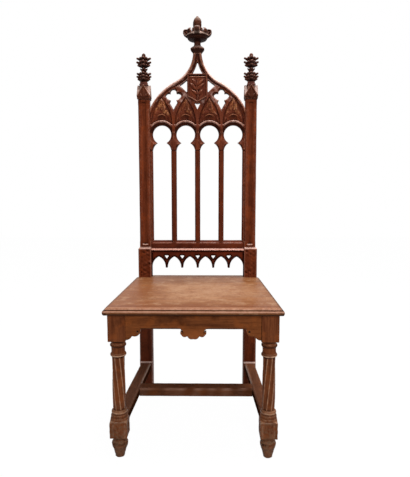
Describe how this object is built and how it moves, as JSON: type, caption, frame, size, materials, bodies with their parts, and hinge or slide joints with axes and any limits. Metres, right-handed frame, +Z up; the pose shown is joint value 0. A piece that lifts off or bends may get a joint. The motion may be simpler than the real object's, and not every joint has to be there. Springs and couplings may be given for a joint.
{
  "type": "gothic hall chair",
  "caption": "Upright carved oak hall chair: board seat on turned twisted legs, open back of slim mullions under pierced gothic tracery with a pointed ogee crest and leafy finials.",
  "frame": {"origin": "on the floor, in the middle of the chair's width and depth", "axes": "+X to the right seen from the front, +Y to the back, +Z up; the chair faces -Y"},
  "size_m": [0.508, 0.5455, 1.397],
  "materials": {
    "seat_oak": "stained and waxed oak, worn to a satin",
    "leg_oak": "stained and waxed oak, rubbed on the arrises and dusty low down",
    "rail_oak": "stained and waxed oak, satin",
    "stretcher_oak": "stained oak, worn and dusty",
    "back_oak": "dark stained and waxed oak, satin",
    "carved_oak": "dark stained and waxed oak, rubbed on the high edges",
    "finial_oak": "nearly black stained oak, satin",
    "plain_oak": "oiled oak, unpolished",
    "screw_steel": "dull steel"
  },
  "bodies": {
    "root": {"seat_board": "seat_oak", "front_leg_left": "leg_oak", "front_leg_right": "leg_oak", "front_rail": "rail_oak", "side_rail_left": "rail_oak", "side_rail_right": "rail_oak", "back_seat_rail": "rail_oak", "side_stretcher_left": "stretcher_oak", "side_stretcher_right": "stretcher_oak", "cross_stretcher": "stretcher_oak", "back_post_left": "back_oak", "back_post_right": "back_oak", "lower_back_rail": "back_oak", "arcade_valance": "back_oak", "mullion_left": "back_oak", "mullion_centre": "back_oak", "mullion_right": "back_oak", "back_strip_left": "back_oak", "back_strip_right": "back_oak", "tracery_head": "carved_oak", "shield": "carved_oak", "gabled_cap_left": "finial_oak", "gabled_cap_right": "finial_oak", "post_finial_left": "finial_oak", "post_finial_right": "finial_oak", "crest_finial": "finial_oak", "crest_bud": "finial_oak", "front_corner_block_left": "plain_oak", "front_corner_block_right": "plain_oak", "back_corner_block_left": "plain_oak", "back_corner_block_right": "plain_oak", "seat_screws": "screw_steel"}
  },
  "joints": []
}
